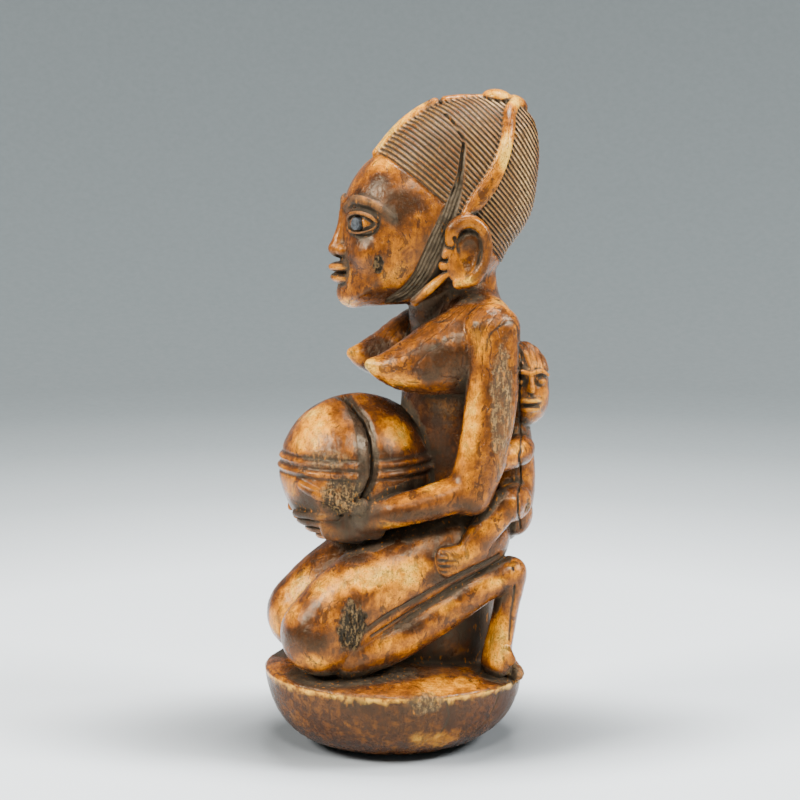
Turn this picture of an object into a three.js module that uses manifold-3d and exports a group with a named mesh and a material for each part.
// Kneeling woman with a child on her back, holding a round lidded bowl: a small carving in one piece of ivory.
// Millimetres, +Z up. The figure looks along -Y, and its left side is +X. The origin is the middle of the underside.
import * as THREE from 'three';
import { mergeVertices, toCreasedNormals } from 'three/addons/utils/BufferGeometryUtils.js';
import Module from 'manifold-3d';

// Driving sizes, in millimetres and degrees
const figureHeight = 134;      // carved figure, from the middle of the base's top to the top of the head
const baseHeight = 20.3;       // base, to the middle of its slightly domed top
const baseWidth = 54.8;        // across the rim, side to side
const baseDepth = 61.2;        // across the rim, front to back
const restWidth = 27;          // flat spot that the carving rests on, front to back
const rimDrop = 3.1;           // how far the rim lies below the middle of the top
const rimTilt = 1.9;           // the rim sinks towards the back by this angle
const figureSink = 0.3;        // how deep the figure is joined into the top of the base
const bowlBand = 0.5;          // how far the two ribs around the bowl stand out
const hairPitch = 3.3;         // from one plait of the hair to the next
const hairDepth = 0.7;         // depth of the furrows between the plaits
const pupilWidth = 2.8;        // dark inlaid pupil, across
const pupilThickness = 1.3;    // and through
const pupilProud = 0.15;       // how far the pupil stands out of the eyeball
const inlayClearance = 0.3;    // room around an inlaid pupil

const wasm = await Module();
wasm.setup();
const detail = 0.1;            // edges shorter than this are merged where forms join

// The figure is laid out in hundredths of its own height. Heights start at the middle of the base's top.
const unit = figureHeight / 100;
const footing = baseHeight - figureSink;
const place = (x, y, z) => new THREE.Vector3(x * unit, y * unit, footing + z * unit);
const mirror = ([x, ...rest]) => [-x, ...rest];

// A closed solid from a list of rings with the same number of points, and a pole at each end
function loft(rings, firstPole, lastPole) {
  const around = rings[0].length;
  const points = [...rings.flat(), firstPole, lastPole];
  const first = points.length - 2;
  const index = [];
  for (let j = 0; j < around; j++) {
    const next = (j + 1) % around;
    index.push(first, next, j);
    for (let i = 0; i < rings.length - 1; i++) {
      const a = i * around;
      const b = a + around;
      index.push(a + j, a + next, b + next, a + j, b + next, b + j);
    }
    const end = (rings.length - 1) * around;
    index.push(first + 1, end + j, end + next);
  }
  const geometry = new THREE.BufferGeometry().setFromPoints(points);
  geometry.setIndex(index);
  return solid(geometry);
}

function solid(geometry) {
  const bare = geometry.clone();
  bare.deleteAttribute('normal');
  bare.deleteAttribute('uv');
  const merged = mergeVertices(bare, 1e-4);
  const mesh = new wasm.Mesh({
    numProp: 3,
    vertProperties: new Float32Array(merged.attributes.position.array),
    triVerts: new Uint32Array(merged.index.array),
    tolerance: detail,
  });
  return new wasm.Manifold(mesh);
}

// A limb with round ends: stations of x, y, z, half-width across and half-depth, joined by a smooth curve
// Round ends: 'first', 'last', 'both' or 'none', where an end lies inside another form
function limb(stations, { around = 12, steps = 1, across = [1, 0, 0], round = 'last' } = {}) {
  const spine = new THREE.CatmullRomCurve3(stations.map(([x, y, z]) => place(x, y, z)), false, 'catmullrom', 0.5);
  const sizes = new THREE.CatmullRomCurve3(stations.map((s) => new THREE.Vector3(s[3], s[4], 0)), false, 'catmullrom', 0.5);
  const count = (stations.length - 1) * steps;
  const sideways = new THREE.Vector3(...across);
  const ring = (t, shrink, beyond) => {
    const along = spine.getTangent(t).normalize();
    const side = sideways.clone().addScaledVector(along, -sideways.dot(along)).normalize();
    const deep = new THREE.Vector3().crossVectors(along, side);
    const size = sizes.getPoint(t);
    const middle = spine.getPoint(t).addScaledVector(along, beyond * Math.min(size.x, size.y) * unit);
    return Array.from({ length: around }, (_, j) => {
      const a = (2 * Math.PI * j) / around;
      return middle.clone()
        .addScaledVector(side, Math.cos(a) * size.x * shrink * unit)
        .addScaledVector(deep, Math.sin(a) * size.y * shrink * unit);
    });
  };
  const rings = [];
  const roundFirst = round === 'first' || round === 'both';
  const roundLast = round === 'last' || round === 'both';
  if (roundFirst) rings.push(ring(0, 0.68, -0.73));
  for (let i = 0; i <= count; i++) rings.push(ring(i / count, 1, 0));
  if (roundLast) rings.push(ring(1, 0.68, 0.73));
  return loft(rings, ring(0, 0, roundFirst ? -1 : -0.3)[0], ring(1, 0, roundLast ? 1 : 0.3)[0]);
}

// A rounded mass: middle, three half-sizes, turned about X then Y then Z in degrees
function egg([x, y, z], [rx, ry, rz], turn = [0, 0, 0], around = 14, high = 8) {
  const geometry = new THREE.SphereGeometry(1, around, high);
  geometry.rotateX(Math.PI / 2);
  geometry.scale(rx * unit, ry * unit, rz * unit);
  const [ax, ay, az] = turn.map(THREE.MathUtils.degToRad);
  geometry.rotateX(ax);
  geometry.rotateY(ay);
  geometry.rotateZ(az);
  geometry.translate(...place(x, y, z).toArray());
  return solid(geometry);
}

const both = (make, ...items) => items.flatMap((item) => [make(item), make(item.map(mirror))]);
const join = (...pieces) => pieces.flat(Infinity).reduce((whole, piece) => whole.add(piece));

// Base: a low bowl-shaped foot with a slightly domed top, its rim lower at the back
function base() {
  const rim = baseDepth / 2;
  const rest = restWidth / 2;
  const rimHeight = baseHeight - rimDrop;
  const side = new THREE.CubicBezierCurve(
    new THREE.Vector2(rest, 0),
    new THREE.Vector2(rest + (rim - rest) * 0.7, rimHeight * 0.05),
    new THREE.Vector2(rim * 0.97, rimHeight * 0.5),
    new THREE.Vector2(rim, rimHeight),
  );
  const top = new THREE.CubicBezierCurve(
    new THREE.Vector2(rim - 0.5, rimHeight + 0.6),
    new THREE.Vector2(rim * 0.8, baseHeight - rimDrop * 0.35),
    new THREE.Vector2(rim * 0.4, baseHeight),
    new THREE.Vector2(0, baseHeight),
  );
  const profile = [new THREE.Vector2(0, 0), ...side.getPoints(5), ...top.getPoints(2)];
  const geometry = new THREE.LatheGeometry(profile, 28);
  geometry.rotateX(Math.PI / 2);
  geometry.scale(baseWidth / baseDepth, 1, 1);
  const slope = Math.tan(THREE.MathUtils.degToRad(rimTilt));
  const at = geometry.attributes.position;
  for (let i = 0; i < at.count; i++) {
    const share = Math.min(at.getZ(i) / rimHeight, 1);
    at.setZ(i, at.getZ(i) - slope * at.getY(i) * share);
  }
  return solid(geometry);
}

// Head: a side outline in the middle plane, swollen to a half-width, cut by planes that fan out from a far pivot.
// The plaits of the hair follow the same planes.
const headOutline = [
  [-2.9, 88.0], [0.3, 91.5], [3.9, 94.3], [7.5, 96.3], [11.5, 97.2], [16.0, 97.4], [20.5, 96.9], [23.4, 95.0],
  [24.8, 92.4], [25.3, 88.3], [25.1, 84.5], [24.3, 78.8], [22.5, 75.0], [19.8, 71.4], [18.2, 68.6], [14.5, 65.5],
  [9, 63.6], [3, 62.4], [-3, 62.1], [-7.5, 62.2], [-9.2, 63.6], [-9.3, 66], [-9.2, 71], [-9.0, 75.5], [-8.4, 80],
  [-7.3, 83], [-5.4, 85.8],
];
const pivot = [83, 12];
const hairline = 0.722;   // angle of the plane through the hairline, in radians
const headEdge = new THREE.CatmullRomCurve3(headOutline.map(([y, z]) => new THREE.Vector3(0, y, z)), true, 'catmullrom', 0.5)
  .getPoints(headOutline.length * 4);

// Distance from the outline in its plane, negative inside
function outlineDistance(y, z) {
  let nearest = Infinity;
  let inside = false;
  for (let i = 0; i < headEdge.length - 1; i++) {
    const a = headEdge[i];
    const b = headEdge[i + 1];
    const ey = b.y - a.y;
    const ez = b.z - a.z;
    const t = THREE.MathUtils.clamp(((y - a.y) * ey + (z - a.z) * ez) / (ey * ey + ez * ez), 0, 1);
    nearest = Math.min(nearest, Math.hypot(y - a.y - t * ey, z - a.z - t * ez));
    if ((a.z > z) !== (b.z > z) && y < a.y + (ey * (z - a.z)) / ez) inside = !inside;
  }
  return inside ? -nearest : nearest;
}

// Zero on the head's surface, negative inside
function headField(x, y, z) {
  const round = 6.5 + 5.5 * THREE.MathUtils.smoothstep(z, 63, 78);
  const half = 8.4 + 2.6 * THREE.MathUtils.smoothstep(z, 63, 77);
  return Math.hypot(Math.max(0, (round + outlineDistance(y, z)) / round), x / half) - 1;
}

function reach(field, far) {
  let low = 0;
  let high = far;
  for (let i = 0; i < 18; i++) {
    const middle = (low + high) / 2;
    if (field(middle) < 0) low = middle; else high = middle;
  }
  return (low + high) / 2;
}

// Half-width of the head at a place in its side view
const headSide = (y, z) => reach((x) => headField(x, y, z), 14);

function head() {
  const around = 18;
  const fan = headEdge.map(({ y, z }) => Math.atan2(z - pivot[1], pivot[0] - y));
  const low = Math.min(...fan);
  const high = Math.max(...fan);
  const span = 106 * unit;
  const furrows = Math.round(((high - hairline) * span) / hairPitch - 0.8);
  const half = (high - hairline) / (2 * furrows + 1.6);
  const planes = [0.06, 0.14, 0.24, 0.36, 0.49, 0.62, 0.75, 0.88].map((share) => [low + (hairline - low) * share, 0]);
  planes.push([hairline - half * 0.6, 0]);
  for (let i = 0; i <= 2 * furrows; i++) planes.push([hairline + i * half, i % 2 ? 0 : hairDepth / unit]);
  const pole = (angle) => {
    const hit = headEdge[fan.indexOf(angle)];
    return place(0, hit.y, hit.z);
  };
  const rings = planes.map(([angle, furrow]) => {
    const at = (rho) => [pivot[0] - rho * Math.cos(angle), pivot[1] + rho * Math.sin(angle)];
    const inside = [];
    for (let rho = 60; rho < 140; rho += 0.1) if (outlineDistance(...at(rho)) < 0) inside.push(rho);
    const middle = (inside[0] + inside.at(-1)) / 2;
    return Array.from({ length: around }, (_, j) => {
      const a = (2 * Math.PI * j) / around;
      const far = reach((r) => headField(r * Math.sin(a), ...at(middle + r * Math.cos(a))), 40) - furrow;
      return place(far * Math.sin(a), ...at(middle + far * Math.cos(a)));
    });
  });
  return loft(rings, pole(low), pole(high));
}

// Bowl: a round closed form with two ribs about its middle and a raised lid line
function bowl() {
  const [rx, ry, rz] = [13.2, 13.5, 13.1].map((share) => share * unit);
  const profile = [];
  for (let i = 0; i <= 10; i++) {
    const a = Math.PI * (-0.5 + i / 10);
    if (Math.abs(a) > 0.2) profile.push(new THREE.Vector2(Math.cos(a) * rx, Math.sin(a) * rz));
    else if (i === 5) {
      for (const [height, out] of [[-1.6, 0], [-0.9, 1], [0, 0.1], [0.9, 1], [1.6, 0]]) {
        const z = height * unit;
        profile.push(new THREE.Vector2(Math.sqrt(1 - (z / rz) ** 2) * rx + out * bowlBand, z));
      }
    }
  }
  profile[0].x = 0;
  profile.at(-1).x = 0;
  const geometry = new THREE.LatheGeometry(profile, 22);
  geometry.rotateX(Math.PI / 2);
  geometry.scale(1, ry / rx, 1);
  geometry.translate(...place(0, -6.5, 33.8).toArray());
  return solid(geometry);
}

// Split in the ivory down the left side of the bowl, where an outer layer has broken away
const bowlSplit = limb([
  [8.6, -12.6, 44.9, 0.5, 0.6], [11.6, -9.4, 41.2, 0.6, 0.7], [13.0, -7.5, 36.5, 0.65, 0.8],
  [13.2, -6.8, 32.5, 0.6, 0.8], [12.4, -7.6, 28.2, 0.5, 0.6],
], { around: 6, steps: 2, across: [0, 1, 0] });

const trunk = join(
  limb([[0, 10.5, 18, 9.5, 8.5], [0, 9.6, 30, 8.4, 8.4], [0, 9.5, 40, 7.8, 8.4], [0, 11.0, 50, 9.5, 8.6],
    [0, 12.8, 57.5, 11, 6.6]], { around: 10, round: 'none' }),
  limb([[0, 11.8, 54, 7.5, 8.4], [0, 10.9, 60, 6.6, 8.0], [0, 10.2, 66, 6.4, 7.9], [0, 9.5, 72, 6.6, 8]],
    { around: 10, round: 'none' }),
  limb([[-13.2, 13.9, 58.6, 4.6, 4.4], [-6, 13.0, 60.2, 6.0, 5], [6, 13.0, 60.2, 6.0, 5], [13.2, 13.9, 58.6, 4.6, 4.4]],
    { around: 8, across: [0, 1, 0], round: 'both' }),
  egg([0, 10.6, 22.4], [12.6, 9.3, 8.2], [0, 0, 0], 10, 6),
  egg([0, 7.4, 7], [7.4, 11, 15], [0, 0, 0], 8, 4),
);

const breasts = both((s) => limb(s, { around: 10 }), [
  [9.2, 12.5, 56.0, 6.6, 7.4], [9.6, 7, 54.3, 6.2, 6.6], [9.4, 1.5, 52.7, 4.9, 4.7], [8.9, -3, 52.4, 3.0, 2.6],
  [8.5, -5.6, 52.9, 1.2, 1.1],
]);

const legs = [
  both((s) => limb(s, { around: 12, round: 'first' }), [
    [8.3, -13.9, 6.9, 7.4, 7.5], [8.6, -9.4, 11.2, 7.6, 7.8], [8.6, -3, 15.7, 7.6, 7.7], [8.2, 6, 20, 7.2, 7.2],
    [7.5, 12, 22.5, 6.8, 6.8],
  ]),
  both((s) => limb(s, { around: 8 }), [
    [9.4, -9.5, 3.6, 5.4, 4.6], [10.2, -2, 6.0, 4.8, 4.2], [10.6, 5.7, 10.3, 4.3, 3.8], [10.4, 13, 14.6, 3.8, 3.4],
    [10.2, 18.4, 16.4, 3.2, 2.9],
  ]),
  both((s) => limb(s, { around: 7, round: 'none' }), [
    [10.0, 18.6, 15.4, 3.0, 2.5], [9.8, 17.8, 9, 2.9, 2.0], [9.8, 16.6, 3, 3.4, 2.0], [9.8, 16.6, 0.4, 3.8, 2.2],
  ]),
];
const toes = [0, 1, 2, 3, 4].map((i) => {
  const x = 6.9 + 1.5 * i;
  return both((s) => limb(s, { around: 4, round: 'none' }), [
    [x, 16.0, 1.9, 0.85, 0.85], [x, 12.9 + 0.35 * Math.abs(i - 1), 0.1, 0.7, 0.7],
  ]);
});

const arms = [
  both((s) => limb(s, { around: 10 }), [
    [14.0, 13.8, 59.0, 4.4, 4.8], [14.5, 13.9, 52, 4.1, 4.6], [15.0, 13.3, 45, 4.0, 4.4], [15.2, 11.8, 37, 3.9, 4.2],
    [15.2, 9.8, 31.5, 3.8, 4.0],
  ]),
  both((s) => limb(s, { around: 10, round: 'first' }), [
    [15.2, 9.8, 31.0, 3.8, 3.9], [14.0, 3.5, 28.6, 3.5, 3.8], [11.8, -3.5, 27.0, 3.2, 3.5], [9.8, -7.5, 26.4, 2.6, 3.3],
  ]),
];
const hands = [
  both((s) => limb(s, { around: 8, across: [0, 0, 1], round: 'none' }), [
    [10.4, -5.5, 26.2, 3.0, 2.2], [9.6, -10, 25.8, 2.9, 1.7], [8.2, -13.2, 25.6, 2.6, 1.3],
  ]),
  [0, 1, 2, 3].map((i) => both((s) => limb(s, { around: 4, across: [0, 0, 1], round: 'none' }), [
    [8.8 - 0.35 * i, -12.0, 27.9 - 1.45 * i, 0.9, 0.85],
    [7.0 - 0.35 * i, -15.0 + 0.25 * i, 27.7 - 1.45 * i, 0.85, 0.8],
    [4.2 - 0.3 * i, -17.1 + 0.35 * i, 27.6 - 1.45 * i, 0.8, 0.75],
    [1.9 + 0.4 * Math.abs(i - 1), -17.9 + 0.4 * i, 27.6 - 1.45 * i, 0.6, 0.6],
  ])),
  both((s) => limb(s, { around: 6 }), [
    [10.3, -7.5, 28.6, 1.4, 1.4], [9.4, -12.0, 30.6, 1.2, 1.3], [7.2, -16.0, 32.6, 0.9, 0.95],
  ]),
];

// Hair: a ridge along the parting, a flat knot on the crown and a smooth braid down to each ear
const hair = [
  limb([[0, -2.6, 88.0, 1.2, 1.2], [0, 0.6, 91.7, 1.2, 1.2], [0, 4.0, 94.5, 1.2, 1.2], [0, 7.4, 96.4, 1.2, 1.2],
    [0, 11.5, 97.1, 1.1, 1.1], [0, 15.5, 97.3, 1.0, 1.0]], { around: 4, round: 'none' }),
  egg([0, 19.6, 96.9], [4.3, 4.2, 2.0], [-20, 0, 0], 8, 5),
  both((s) => limb(s, { around: 4, across: [0, 1, 0], round: 'none' }), [
    [3.4, 20.2, 96.6, 1.5, 1.1], [headSide(18.6, 94.4), 18.6, 94.4, 1.6, 1.1], [headSide(17.0, 91.6), 17.0, 91.6, 1.7, 1.1],
    [headSide(15.4, 88.2), 15.4, 88.2, 1.8, 1.2], [headSide(12.2, 82), 12.2, 82, 1.8, 1.2],
    [headSide(9.8, 77.5), 9.8, 77.5, 1.3, 1.1],
  ]),
];

// Flat strap sunk in front of each ear, down the edge of the face to the jaw
const straps = both((s) => limb(s, { around: 4, round: 'none', across: [0, 1, 0.55] }), [
  [headSide(8.2, 80.2) + 0.6, 8.2, 80.2, 1.0, 1.1], [headSide(5.6, 75.4) + 0.6, 5.6, 75.4, 1.5, 1.1],
  [headSide(3.0, 70.4) + 0.5, 3.0, 70.4, 1.5, 1.1], [headSide(0.2, 65.2) + 0.4, 0.2, 65.2, 1.3, 1.0],
]);

const ears = [
  both(([centre]) => egg(centre, [1.9, 3.5, 5.6], [-18, 0, 0], 9, 6), [[11.2, 10.7, 71.4]]),
  both((s) => limb(s, { around: 4 }), [[9.6, 6.6, 68.4, 1.1, 1.1], [8.8, 2.6, 63.9, 1.1, 1.1]]),
];
const earHollows = both(([centre]) => egg(centre, [1.9, 2.0, 3.6], [-18, 0, 0], 7, 5), [[13.6, 9.3, 71.6]]);

// Face on equal thirds: hairline to brow, brow to the base of the nose, nose to chin
const chinLevel = 62.2;
const third = (88.0 - chinLevel) / 3;
const browLevel = chinLevel + 2 * third;
const noseLevel = chinLevel + third;
const mouthLevel = noseLevel - third / 3;
const eyeLevel = browLevel - third * 0.34;
const eyeMiddle = [5.2, -5.7, eyeLevel];
const eyeLook = new THREE.Vector3(0.5, -0.866, 0);
const face = [
  limb([[0, -8.2, browLevel, 1.0, 1.0], [0, -8.9, eyeLevel - 1, 1.1, 1.1], [0, -9.8, noseLevel + 1.5, 1.5, 1.4]], { around: 5, round: 'none' }),
  egg([0, -9.3, noseLevel + 1.1], [2.4, 2.1, 1.4], [0, 0, 0], 8, 4),
  egg([0, -9.1, mouthLevel + 0.95], [3.6, 2.2, 0.85], [0, 0, 0], 8, 4),
  egg([0, -8.9, mouthLevel - 0.9], [3.2, 2.1, 0.9], [0, 0, 0], 8, 4),
  egg([0, -7.4, chinLevel + 2.1], [3.2, 2.4, 2.2], [0, 0, 0], 8, 4),
  both(([centre]) => egg(centre, [2.9, 2.7, 2.0], [0, 0, centre[0] > 0 ? 32 : -32], 8, 6), [eyeMiddle]),
  both((s) => limb(s, { around: 4, across: [0, 0, 1], round: 'none' }), [
    [1.6, -8.5, browLevel - 0.3, 0.7, 0.6], [4.6, -7.6, browLevel + 1.0, 0.7, 0.6], [8.2, -4.6, browLevel, 0.7, 0.6],
    [9.8, -2.0, browLevel - 2.0, 0.5, 0.5],
  ]),
];

// Pupils: dark discs let into the eyeballs
function disc(side, width, thickness, out) {
  const look = eyeLook.clone();
  look.x *= side;
  const geometry = new THREE.CylinderGeometry(width / 2, width / 2, thickness, 14);
  geometry.applyQuaternion(new THREE.Quaternion().setFromUnitVectors(new THREE.Vector3(0, 1, 0), look));
  const surface = place(eyeMiddle[0] * side, eyeMiddle[1], eyeMiddle[2]).addScaledVector(look, 2.55 * unit);
  geometry.translate(...surface.addScaledVector(look, out - thickness / 2).toArray());
  return geometry;
}
const sockets = [1, -1].map((side) =>
  solid(disc(side, pupilWidth + 2 * inlayClearance, pupilThickness + 4, 4 + pupilProud - inlayClearance)));

// Child: head turned to the mother's left, arms and legs clasped about her sides
const child = [
  egg([1.6, 22.0, 48.3], [6.6, 4.8, 7.1], [0, 0, 0], 10, 7),
  limb([[0, 19.4, 41, 6.4, 4.2], [0, 19.8, 34, 6.6, 4.8], [0, 19.4, 27.5, 7.4, 4.9], [0, 18.4, 23.5, 6.5, 3.6]],
    { around: 8, round: 'none' }),
  both((s) => limb(s, { around: 6, round: 'none' }), [
    [5.5, 21.6, 37.0, 2.4, 2.3], [10.2, 19.8, 36.8, 2.3, 2.3], [13.0, 15.5, 36.5, 2.0, 2.2]]),
  both((s) => limb(s, { around: 6 }), [
    [4.5, 20.6, 27.6, 3.4, 3.7], [10.2, 18.8, 28.6, 3.1, 3.3], [13.0, 16.8, 28.8, 2.8, 3.0]]),
  both((s) => limb(s, { around: 6, round: 'none' }), [
    [13.2, 16.0, 28.2, 2.4, 2.8], [14.4, 12.2, 23.4, 2.0, 2.3], [14.8, 10.0, 20.9, 1.8, 2.2]]),
  both((s) => limb(s, { around: 6, across: [0, 0, 1], round: 'none' }), [
    [14.7, 11.8, 21.4, 1.9, 1.5], [15.3, 8.5, 20.5, 2.1, 1.6], [15.6, 5.6, 20.2, 2.3, 1.3]]),
  [0, 1, 2, 3, 4].map((i) => both((s) => limb(s, { around: 4, round: 'none' }), [
    [15.7, 6.2 + 0.15 * i, 22.0 - 0.95 * i, 0.55, 0.55], [15.8, 3.4 + 0.42 * i, 21.9 - 0.95 * i, 0.5, 0.5]])),
];
// The child's face looks to the mother's left: eyes, nose and two lips
const childFace = [
  egg([7.9, 22.0, 48.6], [0.9, 0.8, 1.6], [0, 0, 0], 6, 4),
  egg([7.4, 20.0, 49.6], [0.9, 1.15, 0.85], [0, 0, 0], 8, 4),
  egg([7.4, 24.0, 49.6], [0.9, 1.15, 0.85], [0, 0, 0], 8, 4),
  egg([7.8, 22.0, 45.9], [0.9, 1.9, 0.5], [0, 0, 0], 6, 4),
  egg([7.6, 22.0, 44.6], [0.9, 1.7, 0.5], [0, 0, 0], 6, 4),
];

const carving = join(base(), trunk, breasts, legs, toes, arms, bowl(), hands, head(), hair, ears, face, child, childFace)
  .subtract(join(earHollows, straps, sockets, bowlSplit));

function surfaceOf(manifold) {
  const { vertProperties, triVerts } = manifold.getMesh();
  const geometry = new THREE.BufferGeometry();
  geometry.setAttribute('position', new THREE.BufferAttribute(vertProperties, 3));
  geometry.setIndex(new THREE.BufferAttribute(triVerts, 1));
  return toCreasedNormals(geometry, THREE.MathUtils.degToRad(40));
}

const ivory = new THREE.MeshStandardMaterial({ color: 0xb8741f, roughness: 0.34, metalness: 0 });
const horn = new THREE.MeshStandardMaterial({ color: 0x34373a, roughness: 0.45, metalness: 0 });

const part = new THREE.Group();
const figure = new THREE.Mesh(surfaceOf(carving), ivory);
figure.name = 'figure';
part.add(figure);
for (const [side, name] of [[1, 'pupil_left'], [-1, 'pupil_right']]) {
  const pupil = new THREE.Mesh(disc(side, pupilWidth, pupilThickness, pupilProud), horn);
  pupil.name = name;
  part.add(pupil);
}

export default part;
